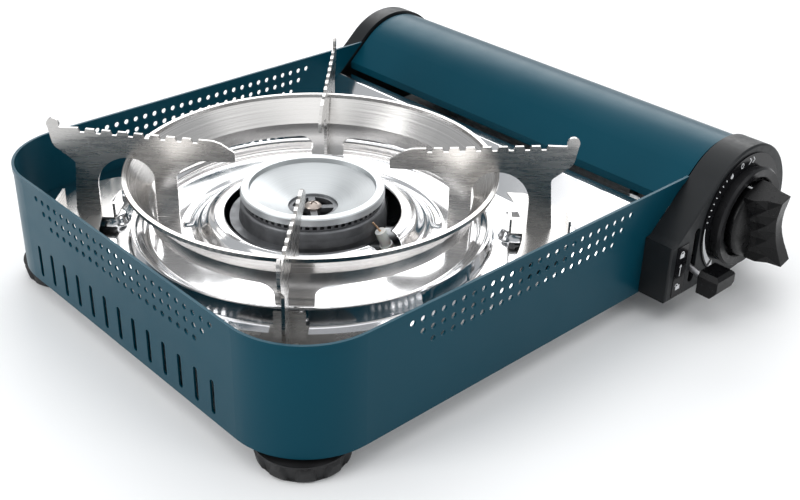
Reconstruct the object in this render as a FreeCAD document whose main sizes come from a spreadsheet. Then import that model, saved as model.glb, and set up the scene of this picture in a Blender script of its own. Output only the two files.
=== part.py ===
import FreeCAD, Part
import math
import os
import Sketcher

# Single-burner butane cassette stove. Millimetres, +Z up, the floor at Z 0.
# Sizes are written about the burner's axis; each piece is then placed about the centre of the
# stove's footprint. +X is the canister side, -Y is the side with the knob.

SIZES = {
    # footprint: how far the burner axis stands from the centre of the footprint
    "centre_x": 50.825, "centre_y": -16.0,
    # painted tray
    "wall_left": 117.8, "wall_depth": 131.2, "wall_foot": 12.2, "wall_top": 71.5,
    "corner_round": 40.6, "tray_sheet": 1.0, "hem_tall": 3.0, "hem_proud": 0.45,
    "bay_side": 216.0, "bay_side_top": 24.0, "bay_corner": 8.0,
    "bay_front_left": 131.0, "bay_front_right": 206.0, "bay_front_sill": 16.0,
    "slant_x": 118.0, "slant_z": 44.6, "slant_rise": 0.885,
    # air holes and slots in the tray walls
    "hole_radius": 1.55, "hole_pitch": 6.33, "hole_row": 6.49, "hole_high": 64.6,
    "hole_first_x": -51.3, "hole_first_y": -75.3,
    "slot_wide": 3.0, "slot_low": 16.5, "slot_high": 35.1, "slot_first": -74.0, "slot_pitch": 12.94,
    # floor pan, partition and heat strip
    "base_sheet": 0.8, "partition_x": 129.0, "partition_top": 51.5, "partition_flange": 9.0,
    "strip_length": 118.0, "strip_wide": 22.0, "strip_thick": 1.2, "strip_x": 62.0, "strip_y": 20.0,
    # feet
    "foot_radius": 23.4, "foot_tall": 10.0, "foot_inset": 26.0, "foot_taper": 12.0,
    "foot_boss": 12.0, "foot_cup": 19.6, "foot_cup_deep": 4.5, "foot_right_x": 184.0,
    "screw_radius": 2.0, "screw_head": 4.0,
    # drip pan
    "pan_sheet": 0.8, "pan_level": 38.0, "pan_rim": 100.0, "pan_gap": 0.5, "pan_right": 134.5,
    "pan_step": 104.0, "pan_shelf": 128.0, "pan_high": 54.0, "pan_hole": 46.7,
    "pan_bead": 47.6, "pan_edge": 95.8,
    "boss_start": 99.0, "boss_end": 143.0, "boss_wide": 15.0, "boss_top": 43.1,
    # burner
    "cap_radius": 38.0, "cap_top": 63.5, "cap_seat": 59.5, "dish_radius": 13.2, "dish_low": 52.0,
    "port_seat": 56.3, "port_inner": 31.0, "port_outer": 36.6, "port_wide": 2.1, "port_deep": 2.6,
    "hub_radius": 13.0, "hub_top": 50.8, "post_radius": 3.8, "spoke_wide": 3.6, "bowl_floor": 26.0,
    "bowl_wall": 39.2, "flange_radius": 44.0, "flange_top": 47.4, "flange_thick": 1.8,
    "feed_angle": -34.8, "feed_height": 30.0, "tube_outer": 6.0, "tube_inner": 5.2,
    "tube_start": 27.0, "tube_end": 116.0, "mouth_end": 124.0, "mouth_radius": 7.0,
    # pot supports and wind ring
    "ring_radius": 97.2, "ring_top": 75.6, "ring_waist": 84.6, "ring_waist_z": 61.6,
    "ring_skirt": 54.0, "ring_leg_foot": 41.9, "ring_sheet": 0.9, "window_half": 52.8,
    "blade_thick": 1.6, "tooth_pitch": 8.35, "tooth_deep": 2.3, "tooth_first": 54.4,
    "tooth_first_z": 87.2, "tooth_rise": 0.066, "blade_foot": 43.4, "blade_reach": 136.9,
    "wing_inner": 111.5, "wing_half": 38.0, "wing_neck": 9.0, "wing_thick": 1.2,
    # end mouldings and lid
    "dome_x": 179.5, "dome_z": 45.0, "panel_dome": 40.4, "lid_dome": 38.7, "lid_sheet": 0.9,
    "panel_bottom": 13.0, "panel_left": 116.5, "panel_deep": 17.0, "panel_back": 131.4,
    "panel_wall": 2.0, "panel_shoulder": 46.3, "panel_sweep": 7.0, "cap_deep": 12.0,
    "panel_heel": 9.0, "lid_half": 129.8, "lid_left": 138.5,
    "hinge_x": 217.4, "hinge_z": 27.0, "hinge_radius": 2.2, "pin_radius": 1.2, "hinge_y": 90.0,
    "lid_foot": 29.6, "pin_clearance": 0.05,
    # controls
    "knob_x": 177.0, "knob_z": 46.6, "dial_radius": 35.0, "dial_thick": 0.8, "bezel_radius": 28.4,
    "bezel_deep": 6.2, "bezel_bore": 22.0, "skirt_radius": 21.2, "skirt_front": 160.0,
    "knob_front": 177.0, "bar_half": 23.0, "bar_wide": 9.0, "bar_dip": 4.0, "knob_tilt": -17.0,
    "spindle_radius": 3.0, "label_left": 121.5, "label_right": 131.0, "label_low": 15.0,
    "label_high": 45.0, "label_thick": 0.3,
    "slot_x": 138.0, "lever_slot_wide": 4.8, "lever_slot_low": 18.5, "lever_slot_high": 51.0,
    "pivot_y": -118.0, "pivot_z": 34.5, "rod_radius": 1.9, "lever_drop": 14.5, "rod_length": 41.0,
    "tip_left": 132.0, "tip_right": 148.0, "tip_back": 156.2, "tip_front": 168.5, "tip_low": 17.5,
    "tip_high": 30.5,
    # gas train
    "regulator_left": 155.0, "regulator_wide": 44.0, "regulator_back": -100.0,
    "regulator_front": -127.0, "regulator_low": 28.0, "regulator_high": 64.0,
    "socket_radius": 15.0, "socket_deep": 8.0, "nozzle_bore": 5.0, "seal_radius": 4.5,
    "pipe_radius": 2.5,
}

doc = FreeCAD.newDocument("cassette_stove")
sheet = doc.addObject("Spreadsheet::Sheet", "Sizes")
for row, (alias, value) in enumerate(SIZES.items(), start=1):
    sheet.set(f"A{row}", alias)
    sheet.set(f"B{row}", str(value))
    sheet.setAlias(f"B{row}", alias)
doc.recompute()


class Dim:
    """A size that keeps both its value and the spreadsheet expression it comes from."""

    def __init__(self, text, value):
        self.text = text
        self.value = float(value)

    @staticmethod
    def of(other):
        return other if isinstance(other, Dim) else Dim(repr(float(other)), other)

    def joined(self, other, sign, value):
        return Dim(f"({self.text} {sign} {other.text})", value)

    def __add__(self, other):
        other = Dim.of(other)
        return self.joined(other, "+", self.value + other.value)

    def __sub__(self, other):
        other = Dim.of(other)
        return self.joined(other, "-", self.value - other.value)

    def __mul__(self, other):
        other = Dim.of(other)
        return self.joined(other, "*", self.value * other.value)

    def __truediv__(self, other):
        other = Dim.of(other)
        return self.joined(other, "/", self.value / other.value)

    def __radd__(self, other):
        return Dim.of(other) + self

    def __rsub__(self, other):
        return Dim.of(other) - self

    def __rmul__(self, other):
        return Dim.of(other) * self

    def __neg__(self):
        return Dim(f"(0 - {self.text})", -self.value)


class Sizes:
    """Looks up a spreadsheet cell by its alias."""

    def __getattr__(self, alias):
        return Dim(f"Sizes.{alias}", sheet.get(alias))


size = Sizes()
parts = []


class Bend:
    """An arc of a sketch outline: from the point before to (x, z), turning left (+1) or right (-1)."""

    def __init__(self, radius, x, z, turn):
        self.radius = Dim.of(radius)
        self.x = Dim.of(x)
        self.z = Dim.of(z)
        self.turn = turn


def bind(thing, prop, dim):
    """Binds a property to the spreadsheet."""
    thing.setExpression(prop, Dim.of(dim).text)


def place(thing, x=0, y=0, z=0, axis=(0, 0, 1), angle=0):
    """Gives a piece its place about the footprint's centre and adds it to the parts."""
    spin = FreeCAD.Rotation(FreeCAD.Vector(*axis), Dim.of(angle).value)
    thing.Placement = FreeCAD.Placement(FreeCAD.Vector(0, 0, 0), spin)
    bind(thing, "Placement.Base.x", Dim.of(x) - size.centre_x)
    bind(thing, "Placement.Base.y", Dim.of(y) - size.centre_y)
    bind(thing, "Placement.Base.z", Dim.of(z))
    parts.append(thing)
    return thing


def new_body(name):
    body = doc.addObject("PartDesign::Body", name)
    body.Label = name
    return body


def new_sketch(body, plane, offset=0):
    """A sketch on one of the body's own origin planes, moved along the plane's normal."""
    sketch = body.newObject("Sketcher::SketchObject", f"{body.Name}_sketch")
    support = [item for item in body.Origin.OriginFeatures if item.Role == plane + "_Plane"][0]
    sketch.AttachmentSupport = [(support, "")]
    sketch.MapMode = "FlatFace"
    bind(sketch, "AttachmentOffset.Base.z", offset)
    return sketch


def pin_down(sketch, geo, spot, x, z):
    """Fixes a sketch point's coordinates, bound to the spreadsheet."""
    for kind, axis, coordinate in (("DistanceX", -2, Dim.of(x)), ("DistanceY", -1, Dim.of(z))):
        if abs(coordinate.value) < 1e-9:
            sketch.addConstraint(Sketcher.Constraint("PointOnObject", geo, spot, axis))
            continue
        index = sketch.addConstraint(Sketcher.Constraint(kind, geo, spot, coordinate.value))
        if "Sizes." in coordinate.text:
            bind(sketch, f"Constraints[{index}]", coordinate)


def arc_between(start, end, radius, turn):
    """The arc from start to end with that radius, no longer than half a circle."""
    chord = end - start
    half = chord.Length / 2
    rise = math.sqrt(max(radius * radius - half * half, 0))
    side = FreeCAD.Vector(-chord.y, chord.x, 0).normalize() * (rise * turn)
    centre = (start + end) * 0.5 + side
    first, last = (start, end) if turn > 0 else (end, start)
    circle = Part.Circle(centre, FreeCAD.Vector(0, 0, 1), radius)
    return Part.ArcOfCircle(circle, circle.parameter(first), circle.parameter(last))


def outline(sketch, path):
    """Draws a closed outline through points and bends, each corner bound to the spreadsheet."""
    spots = [(item.x, item.z) if isinstance(item, Bend) else (Dim.of(item[0]), Dim.of(item[1]))
             for item in path]
    ends = []
    for index, item in enumerate(path):
        start = FreeCAD.Vector(spots[index - 1][0].value, spots[index - 1][1].value, 0)
        end = FreeCAD.Vector(spots[index][0].value, spots[index][1].value, 0)
        if isinstance(item, Bend):
            geo = sketch.addGeometry(arc_between(start, end, item.radius.value, item.turn), False)
            ends.append((geo, 1, 2) if item.turn > 0 else (geo, 2, 1))
            radius = sketch.addConstraint(Sketcher.Constraint("Radius", geo, item.radius.value))
            if "Sizes." in item.radius.text:
                bind(sketch, f"Constraints[{radius}]", item.radius)
        else:
            geo = sketch.addGeometry(Part.LineSegment(start, end), False)
            ends.append((geo, 1, 2))
    for index, (geo, _, finish) in enumerate(ends):
        following = ends[(index + 1) % len(ends)]
        sketch.addConstraint(Sketcher.Constraint("Coincident", geo, finish, following[0], following[1]))
        pin_down(sketch, geo, finish, *spots[index])
    return sketch


def circle(sketch, x, z, radius):
    """A full circle in a sketch, bound to the spreadsheet."""
    centre = FreeCAD.Vector(Dim.of(x).value, Dim.of(z).value, 0)
    geo = sketch.addGeometry(Part.Circle(centre, FreeCAD.Vector(0, 0, 1), Dim.of(radius).value), False)
    pin_down(sketch, geo, 3, x, z)
    index = sketch.addConstraint(Sketcher.Constraint("Radius", geo, Dim.of(radius).value))
    bind(sketch, f"Constraints[{index}]", radius)
    return geo


def slot_path(middle, half, low, high):
    """An upright slot with round ends."""
    return [(middle + half, high - half), Bend(half, middle, high, 1),
            Bend(half, middle - half, high - half, 1), (middle - half, low + half),
            Bend(half, middle, low, 1), Bend(half, middle + half, low + half, 1)]


def box_path(x_low, x_high, z_low, z_high):
    return [(x_low, z_low), (x_high, z_low), (x_high, z_high), (x_low, z_high)]


def pad(body, sketch, length, symmetric=False, reverse=False, taper=None):
    feature = body.newObject("PartDesign::Pad", f"{body.Name}_pad")
    feature.Profile = sketch
    feature.SideType = "Symmetric" if symmetric else "One side"
    feature.Reversed = reverse
    bind(feature, "Length", length)
    if taper is not None:
        bind(feature, "TaperAngle", taper)
    return feature


def pocket(body, sketch, length=None, symmetric=False, reverse=False):
    """Cuts a sketch's outline away, and stops if the cut removes nothing."""
    if symmetric and length is None:
        length = (size.wall_depth + 20) * 2
    doc.recompute()
    before = body.Shape.Volume
    feature = body.newObject("PartDesign::Pocket", f"{body.Name}_pocket")
    feature.Profile = sketch
    feature.SideType = "Symmetric" if symmetric else "One side"
    feature.Reversed = reverse
    if length is None:
        feature.Type = "ThroughAll"
    else:
        bind(feature, "Length", length)
    doc.recompute()
    if not body.Shape.Volume < before - 1e-3:
        raise RuntimeError(f"a pocket of {body.Label} cuts nothing")
    return feature


def origin_axis(body, letter):
    """One of the body's own origin axes, as a pattern wants it."""
    return ([item for item in body.Origin.OriginFeatures if item.Role == letter + "_Axis"][0], [""])


def repeat(body, feature, letter, pitch, count):
    """Repeats a cut along one of the body's own axes."""
    pattern = body.newObject("PartDesign::LinearPattern", f"{body.Name}_row")
    pattern.Originals = [feature]
    pattern.Direction = origin_axis(body, letter)
    body.Tip = pattern
    pattern.Occurrences = count
    bind(pattern, "Length", pitch * (count - 1))
    doc.recompute()
    return pattern


def revolve(body, path):
    """Turns an outline of radius and height round the body's own Z axis."""
    sketch = outline(new_sketch(body, "XZ"), path)
    feature = body.newObject("PartDesign::Revolution", f"{body.Name}_turned")
    feature.Profile = sketch
    feature.ReferenceAxis = (sketch, ["V_Axis"])
    feature.Angle = 360
    return feature


def turned(name, path, x=0, y=0, z=0, axis=(0, 0, 1), angle=0):
    body = new_body(name)
    revolve(body, path)
    return place(body, x, y, z, axis, angle)


def soften(body, radius, wanted):
    """Rounds the edges of the body that the test picks."""
    doc.recompute()
    base = body.Tip
    names = [f"Edge{index}" for index, edge in enumerate(base.Shape.Edges, start=1) if wanted(edge)]
    if not names:
        raise RuntimeError(f"no edge of {body.Label} to round")
    feature = body.newObject("PartDesign::Fillet", f"{body.Name}_round")
    feature.Base = (base, names)
    feature.Radius = radius
    doc.recompute()
    return feature


def loop(sketch, left, right, half, round_left, round_right):
    """A rounded rectangle in plan, with one radius on its left corners and one on its right."""
    return outline(sketch, [
        (right - round_right, -half),
        Bend(round_right, right, round_right - half, 1),
        (right, half - round_right),
        Bend(round_right, right - round_right, half, 1),
        (round_left - left, half),
        Bend(round_left, -left, half - round_left, 1),
        (-left, round_left - half),
        Bend(round_left, round_left - left, -half, 1),
    ])


def primitive(kind, name, sizes, x=0, y=0, z=0, axis=(0, 0, 1), angle=0):
    """A Part primitive whose sizes are bound and whose own place is set."""
    shape = doc.addObject(f"Part::{kind}", name)
    for prop, dim in sizes.items():
        bind(shape, prop, dim)
    shape.Placement = FreeCAD.Placement(FreeCAD.Vector(0, 0, 0),
                                        FreeCAD.Rotation(FreeCAD.Vector(*axis), angle))
    for prop, dim in (("x", x), ("y", y), ("z", z)):
        bind(shape, f"Placement.Base.{prop}", dim)
    return shape


def block(name, x_low, x_high, y_low, y_high, z_low, z_high):
    x_low, y_low, z_low = Dim.of(x_low), Dim.of(y_low), Dim.of(z_low)
    sizes = {"Length": x_high - x_low, "Width": y_high - y_low, "Height": z_high - z_low}
    return primitive("Box", name, sizes, x_low, y_low, z_low)


def rod(name, radius, length, x, y, z, axis=(0, 0, 1), angle=0):
    return primitive("Cylinder", name, {"Radius": radius, "Height": length}, x, y, z, axis, angle)


ALONG_Y = {"axis": (1, 0, 0), "angle": -90}
ALONG_X = {"axis": (0, 1, 0), "angle": 90}


def join(name, shapes):
    feature = doc.addObject("Part::MultiFuse", name)
    feature.Shapes = shapes
    return feature


def cut(name, base, tool):
    feature = doc.addObject("Part::Cut", name)
    feature.Base = base
    feature.Tool = tool
    return feature


def finished(feature, label, angle=0):
    """Names a boolean's result as a piece of the stove and places it."""
    feature.Label = label
    return place(feature, angle=angle)


# --- painted tray -----------------------------------------------------------------------------

def body_shell():
    body = new_body("body_shell")
    sheet_gap = size.tray_sheet
    rings = ((size.wall_foot, size.wall_top - size.wall_foot, 0.0),
             (size.wall_top - size.hem_tall, size.hem_tall, size.hem_proud))
    for bottom, tall, proud in rings:
        sketch = new_sketch(body, "XY", bottom)
        loop(sketch, size.wall_left + proud, size.bay_side, size.wall_depth + proud,
             size.corner_round + proud, size.bay_corner)
        loop(sketch, size.wall_left - sheet_gap, size.bay_side - sheet_gap, size.wall_depth - sheet_gap,
             size.corner_round - sheet_gap, size.bay_corner - sheet_gap)
        pad(body, sketch, tall)
    above = size.wall_top + 1
    over_x = size.slant_x + (above - size.slant_z) / size.slant_rise
    beyond = size.bay_side + 1
    sketch = outline(new_sketch(body, "XZ"), [
        (size.slant_x, size.slant_z), (over_x, above), (beyond, above), (beyond, size.bay_side_top),
        (size.bay_front_right, size.bay_side_top), (size.bay_front_right, size.bay_front_sill),
        (size.bay_front_left, size.bay_front_sill), (size.bay_front_left, size.slant_z)])
    pocket(body, sketch, symmetric=True)
    half = size.slot_wide / 2
    slot = outline(new_sketch(body, "YZ"),
                   slot_path(size.slot_first, half, size.slot_low, size.slot_high))
    repeat(body, pocket(body, slot, length=size.wall_left + 5), "Y", size.slot_pitch, 13)
    for row, count in enumerate((25, 23, 21)):
        height = size.hole_high - size.hole_row * row
        side = new_sketch(body, "XZ")
        circle(side, size.hole_first_x + size.hole_pitch * row, height, size.hole_radius)
        hole = pocket(body, side, length=(size.wall_depth + 5) * 2, symmetric=True)
        repeat(body, hole, "X", size.hole_pitch, count)
        end = new_sketch(body, "YZ")
        circle(end, size.hole_first_y + size.hole_pitch * row, height, size.hole_radius)
        hole = pocket(body, end, length=size.wall_left + 5)
        repeat(body, hole, "Y", size.hole_pitch, count)
    return place(body)


def base_plate():
    body = new_body("base_plate")
    inset = size.tray_sheet
    sketch = new_sketch(body, "XY", size.wall_foot)
    loop(sketch, size.wall_left - inset, size.bay_side - inset, size.wall_depth - inset,
         size.corner_round - inset, size.bay_corner - inset)
    for x, y in foot_places().values():
        circle(sketch, x, y, size.screw_radius)
    pad(body, sketch, size.base_sheet)
    return place(body)


def bay_partition():
    """Upright sheet between the burner and the canister, with its foot flange."""
    body = new_body("bay_partition")
    low = size.wall_foot + size.base_sheet
    near = size.partition_x
    far = near + size.base_sheet
    sketch = outline(new_sketch(body, "XZ"), [
        (near - size.partition_flange, low), (far, low), (far, size.partition_top),
        (near, size.partition_top), (near, low + size.base_sheet),
        (near - size.partition_flange, low + size.base_sheet)])
    pad(body, sketch, (size.wall_depth - size.tray_sheet) * 2 - 0.4, symmetric=True)
    openings = new_sketch(body, "YZ")
    outline(openings, box_path(-101, -80, 22, 46))
    outline(openings, box_path(8, 32, low - 1, low + 8))
    pocket(body, openings, symmetric=True)
    return place(body)


def heat_strip():
    """Aluminium strip that carries a little of the burner's heat under the canister."""
    body = new_body("heat_strip")
    low = size.wall_foot + size.base_sheet
    end = size.strip_x
    sketch = outline(new_sketch(body, "XZ"), [
        (end, low), (end + size.strip_length, low), (end + size.strip_length, low + size.strip_thick),
        (end + size.strip_thick, low + size.strip_thick), (end + size.strip_thick, low + 19),
        (end, low + 19)])
    pad(body, sketch, size.strip_wide, symmetric=True)
    return place(body, y=size.strip_y)


# --- feet ---------------------------------------------------------------------------------------

def foot_places():
    left = size.foot_inset - size.wall_left
    deep = size.wall_depth - size.foot_inset
    return {"front_left": (left, -deep), "rear_left": (left, deep),
            "front_right": (size.foot_right_x, -deep), "rear_right": (size.foot_right_x, deep)}


def feet():
    """Moulded rubber feet: a flared cup with eight lobes round a central boss."""
    for corner, (x, y) in foot_places().items():
        body = new_body(f"foot_{corner}")
        low_radius = size.foot_radius - 2.1
        lobes = []
        for lobe in range(8):
            for turn, share in ((-11, 1.0), (0, 1.025), (11, 1.0)):
                angle = math.radians(45 * lobe + turn)
                lobes.append((low_radius * (share * math.cos(angle)),
                              low_radius * (share * math.sin(angle))))
        pad(body, outline(new_sketch(body, "XY"), lobes), size.foot_tall, taper=size.foot_taper)
        cup = new_sketch(body, "XY", size.foot_tall)
        circle(cup, 0, 0, size.foot_cup)
        circle(cup, 0, 0, size.foot_boss)
        pocket(body, cup, length=size.foot_cup_deep)
        boss = new_sketch(body, "XY", size.foot_tall)
        circle(boss, 0, 0, size.foot_boss)
        pad(body, boss, size.wall_foot - size.foot_tall)
        bore = new_sketch(body, "XY", size.wall_foot)
        circle(bore, 0, 0, size.screw_radius)
        pocket(body, bore)
        recess = new_sketch(body, "XY")
        circle(recess, 0, 0, size.screw_head + 0.6)
        pocket(body, recess, length=5, reverse=True)
        place(body, x, y)


def foot_screws():
    pieces = []
    for corner, (x, y) in foot_places().items():
        pieces.append(rod(f"foot_screw_head_{corner}", size.screw_head, 2.4, x, y, 2.6))
        pieces.append(rod(f"foot_screw_shank_{corner}", size.screw_radius, 8.0, x, y, 5.0))
    return finished(join("foot_screws", pieces), "foot_screws")


# --- burner -------------------------------------------------------------------------------------

def burner():
    seat = size.port_seat
    floor = size.bowl_floor
    wall = size.bowl_wall
    inside = size.port_inner - 0.5
    flange = size.flange_top
    side = math.sqrt(wall.value ** 2 - 12 ** 2)
    bowl = new_body("burner_bowl")
    revolve(bowl, [
        (0, floor - 4), (20, floor - 4), (28, 28), (wall, 43), (wall, flange - size.flange_thick),
        (size.flange_radius, flange - size.flange_thick), (size.flange_radius, flange), (wall, flange),
        (wall - 0.6, 51), (wall - 0.9, seat - 1.6), Bend(1.6, wall - 2.4, seat, 1),
        (inside, seat), (inside, 47), (24, 30), (16, floor), (0, floor)])
    clear = outline(new_sketch(bowl, "XY", flange - size.flange_thick), [
        (-12, -50), (50, -50), (50, 50), (-12, 50), (-12, side), Bend(wall, wall, 0, -1),
        Bend(wall, -12, -side, -1)])
    pocket(bowl, clear, length=size.flange_thick, reverse=True)
    inlet = new_sketch(bowl, "YZ")
    circle(inlet, 0, size.feed_height, size.tube_outer)
    pocket(bowl, inlet, length=40, reverse=True)
    place(bowl, angle=size.feed_angle)

    ring = new_body("port_ring")
    revolve(ring, [(size.port_inner, seat), (size.port_outer, seat),
                   (size.port_outer, size.cap_seat), (size.port_inner, size.cap_seat)])
    gap = outline(new_sketch(ring, "YZ"), box_path(
        -size.port_wide / 2, size.port_wide / 2, size.cap_seat - size.port_deep, size.cap_seat + 1))
    first = pocket(ring, gap, length=(size.port_outer + 4) * 2, symmetric=True)
    pattern = ring.newObject("PartDesign::PolarPattern", "port_pattern")
    pattern.Originals = [first]
    pattern.Axis = origin_axis(ring, "Z")
    ring.Tip = pattern
    pairs = 31
    pattern.Angle = 180 - 180 / pairs
    pattern.Occurrences = pairs
    place(ring)

    cap = new_body("burner_cap")
    revolve(cap, [
        (size.dish_radius, size.dish_low - 1.8), (14.8, size.dish_low - 1.8), (29.8, 57.1),
        (size.port_inner - 0.4, size.cap_seat), (size.cap_radius, size.cap_seat),
        (size.cap_radius, size.cap_top - 0.6), (size.cap_radius - 0.6, size.cap_top),
        (33.6, size.cap_top), (33.2, size.cap_top - 2.6), (size.dish_radius, size.dish_low)])
    place(cap)

    hub_low = size.hub_top - 2.6
    post = rod("hub_post", size.post_radius, size.hub_top - floor, 0, 0, floor)
    rim = cut("hub_rim", rod("hub_rim_outer", size.hub_radius, 2.6, 0, 0, hub_low),
              rod("hub_rim_inner", size.hub_radius - 2, 2.6, 0, 0, hub_low))
    reach = size.hub_radius - 1
    spoke = size.spoke_wide / 2
    cross = [block("hub_spoke_x", -reach, reach, -spoke, spoke, hub_low, size.hub_top),
             block("hub_spoke_y", -spoke, spoke, -reach, reach, hub_low, size.hub_top)]
    hub = cut("hub_bored", join("hub_solid", [post, rim] + cross),
              rod("hub_bore", size.screw_radius, 14, 0, 0, size.hub_top - 13))
    finished(hub, "burner_hub", angle=size.feed_angle)

    screw = new_body("burner_screw")
    top = size.hub_top
    revolve(screw, [(0, top - 12), (size.screw_radius, top - 12), (size.screw_radius, top),
                    (4.6, top), (4.6, top + 0.8), Bend(5.6, 0, top + 3, 1)])
    drive = new_sketch(screw, "XY", top + 3.2)
    arm, groove = 2.3, 0.45
    outline(drive, [(-groove, -arm), (groove, -arm), (groove, -groove), (arm, -groove), (arm, groove),
                    (groove, groove), (groove, arm), (-groove, arm), (-groove, groove), (-arm, groove),
                    (-arm, -groove), (-groove, -groove)])
    pocket(screw, drive, length=1.8)
    place(screw, angle=20)


def burner_bracket():
    """Hat-section strip that holds the burner bowl over the floor pan."""
    body = new_body("burner_bracket")
    low = size.wall_foot + size.base_sheet
    high = size.bowl_floor - 4
    thick = 1.2
    sketch = outline(new_sketch(body, "XZ"), [
        (-46, low), (-28, low), (-20, high - thick), (20, high - thick), (28, low), (46, low),
        (46, low + thick), (28.8, low + thick), (20.8, high), (-20.8, high), (-28.8, low + thick),
        (-46, low + thick)])
    pad(body, sketch, 26, symmetric=True)
    return place(body, angle=60)


def gas_train():
    """Mixing tube, jet and gas pipe on the line from the regulator to the burner."""
    start, end, mouth = size.tube_start, size.tube_end, size.mouth_end
    line = {"z": size.feed_height, "axis": (0, 0, 1), "angle": size.feed_angle}

    def along(name, path):
        body = new_body(name)
        sketch = outline(new_sketch(body, "XZ"), path)
        feature = body.newObject("PartDesign::Revolution", f"{name}_turned")
        feature.Profile = sketch
        feature.ReferenceAxis = (sketch, ["H_Axis"])
        feature.Angle = 360
        return place(body, **line)

    along("mixing_tube", [
        (start, size.tube_inner), (end, size.tube_inner), (mouth, size.mouth_radius - 0.8),
        (mouth, size.mouth_radius), (end, size.tube_outer), (start, size.tube_outer)])
    along("gas_jet", [
        (mouth + 3, 0), (mouth + 3, 1.6), (mouth + 7, 3.2), (mouth + 12, 3.2), (mouth + 12, 4.2),
        (mouth + 17, 4.2), (mouth + 17, 0)])
    along("gas_pipe", [
        (mouth + 17, 0), (mouth + 17, size.pipe_radius), (mouth + 54.5, size.pipe_radius),
        (mouth + 54.5, 0)])


def regulator():
    left, wide = size.regulator_left, size.regulator_wide
    front, back = size.regulator_front, size.regulator_back
    low, high = size.regulator_low, size.regulator_high
    x, z = size.knob_x, size.knob_z
    case = block("regulator_case", left, left + wide, front, back, low, high)
    port = block("regulator_port", 142, left + 1, front + 16, back + 4, low - 4, low + 10)
    collar = rod("regulator_collar", size.socket_radius, size.socket_deep, x, back, z, **ALONG_Y)
    solid = join("regulator_solid", [case, port, collar])
    socket = rod("regulator_socket", size.nozzle_bore, size.socket_deep + 5, x, back - 5, z, **ALONG_Y)
    seat = rod("regulator_seal_seat", size.seal_radius, 3.5, x, back - 8, z, **ALONG_Y)
    bearing = rod("regulator_bearing", size.spindle_radius + size.pin_clearance, 11, x, front - 1, z,
                  **ALONG_Y)
    ahead = math.radians(size.feed_angle.value)
    entry = 165
    inlet = rod("regulator_inlet", size.pipe_radius, 18, entry * math.cos(ahead), entry * math.sin(ahead),
                size.feed_height, (-math.sin(ahead), math.cos(ahead), 0), 90)
    body = cut("regulator_drilled", solid, join("regulator_bores", [socket, seat, bearing, inlet]))
    finished(body, "regulator_body")
    diaphragm = join("diaphragm", [
        rod("diaphragm_rim", 14, 3, left + wide, front + 13.5, z, **ALONG_X),
        rod("diaphragm_dome", 9, 3, left + wide + 3, front + 13.5, z, **ALONG_X)])
    finished(diaphragm, "regulator_diaphragm")
    ring = cut("seal_ring", rod("seal_outer", size.seal_radius, 2.8, x, back - 7.9, z, **ALONG_Y),
               rod("seal_inner", 2.5, 2.8, x, back - 7.9, z, **ALONG_Y))
    finished(ring, "nozzle_seal")
    floor = size.wall_foot + size.base_sheet
    bracket = join("bracket_solid", [
        block("bracket_foot", left + 2, left + wide - 2, front - 2, back - 2, floor, floor + 1.5),
        block("bracket_web", left + 2, left + 3.5, front + 2, back - 2, floor, low),
        block("bracket_web_far", left + wide - 3.5, left + wide - 2, front + 2, back - 2, floor, low)])
    finished(bracket, "regulator_bracket")


def igniter():
    """Piezo unit beside the regulator, and the sparking electrode at the burner."""
    piezo = join("piezo", [
        rod("piezo_case", 4.4, 24, 147, -127, 57.5, **ALONG_Y),
        rod("piezo_nose", 2.4, 4, 147, -103, 57.5, **ALONG_Y)])
    finished(piezo, "piezo_igniter")
    turned("electrode_ceramic", [
        (0, 0), (2.9, 0), (2.9, 4), (3.6, 4), (3.6, 6), (2.9, 6), (2.9, 15.1), (0, 15.1)],
        x=15.96, y=-43.4, z=36, axis=(-0.294, -0.956, 0), angle=22.2)
    turned("electrode_pin", [(0, 0), (0.55, 0), (0.55, 8.2), (0, 8.8)],
           x=10.4, y=-41.7, z=50.2, axis=(0, -1, 0), angle=38.2)
    floor = size.wall_foot + size.base_sheet
    clip = outline(new_sketch(new_body("electrode_clip"), "XZ"), [
        (20, floor), (34, floor), (34, floor + 1), (21, floor + 1), (21, 37.3), (12.2, 33.7),
        (12.6, 32.8), (20, 35.8)])
    holder = doc.getObject("electrode_clip")
    pad(holder, clip, 7, symmetric=True)
    place(holder, y=-43.4)


# --- drip pan -----------------------------------------------------------------------------------

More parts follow.
